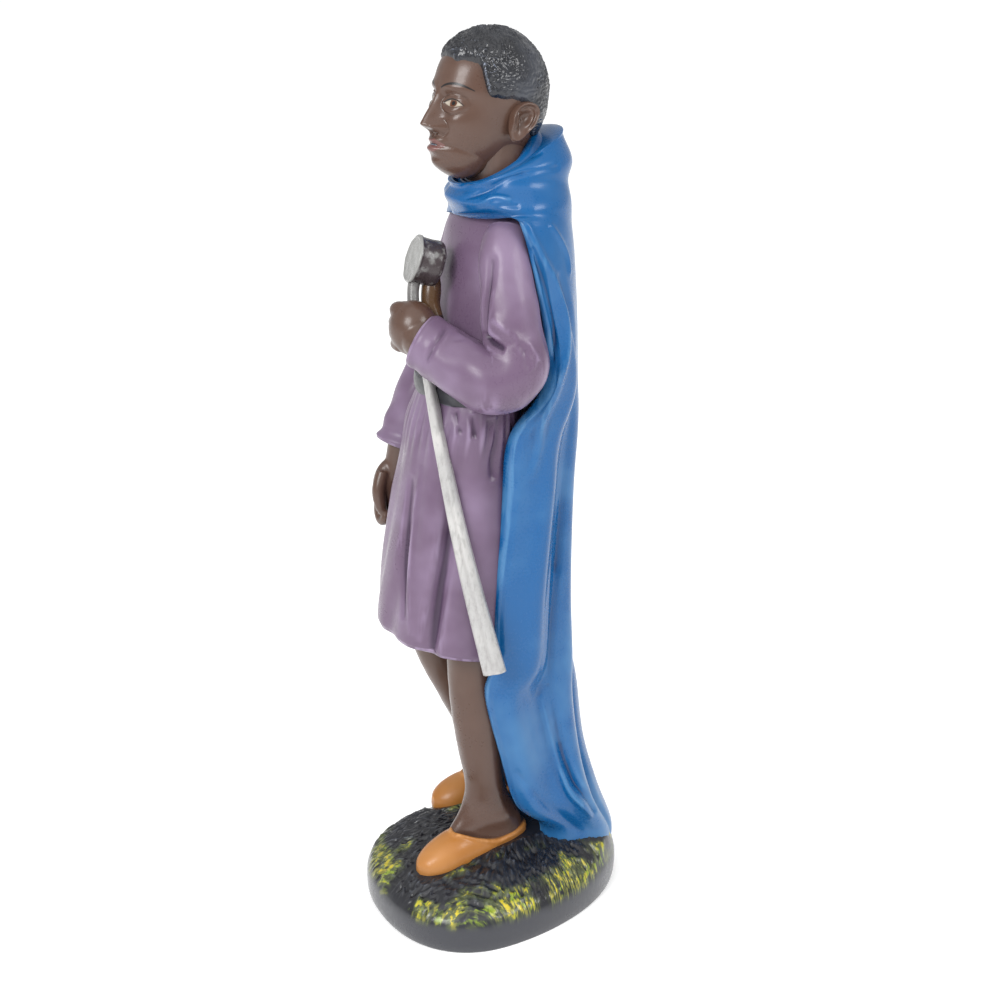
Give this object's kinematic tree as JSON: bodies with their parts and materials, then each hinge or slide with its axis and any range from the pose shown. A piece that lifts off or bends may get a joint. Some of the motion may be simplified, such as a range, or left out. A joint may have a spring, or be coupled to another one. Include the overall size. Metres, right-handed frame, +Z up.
{
  "type": "nativity camel driver figurine",
  "caption": "Standing cast plaster figurine of a young camel driver in belted tunic and long mantle, a sword held point down at the chest, on a grassy mound.",
  "frame": {"origin": "on the flat underside, at the middle of the mound", "axes": "+Z up, -Y the way the figure faces, +X its own left side"},
  "size_m": [0.0872, 0.0916, 0.2996],
  "materials": {
    "painted_plaster": "cast plaster under satin paint, mostly the blue of the mantle",
    "mantle_blue": "glossy blue paint, dry-brushed paler low down and on the edges",
    "tunic_mauve": "satin dusty mauve paint, darker in the folds",
    "skin_brown": "satin brown paint, with painted eyes, brows and lips",
    "hair_black": "charcoal paint, dry-brushed grey on the strands",
    "silver_paint": "silver paint over plaster, antiqued dark in the hollows",
    "slipper_tan": "satin tan orange paint",
    "belt_grey": "dark grey paint",
    "mound_black": "near-black paint, dry-brushed yellow-green on the grass, dark grey round the wall"
  },
  "bodies": {
    "root": {"figurine": "painted_plaster"}
  },
  "joints": []
}
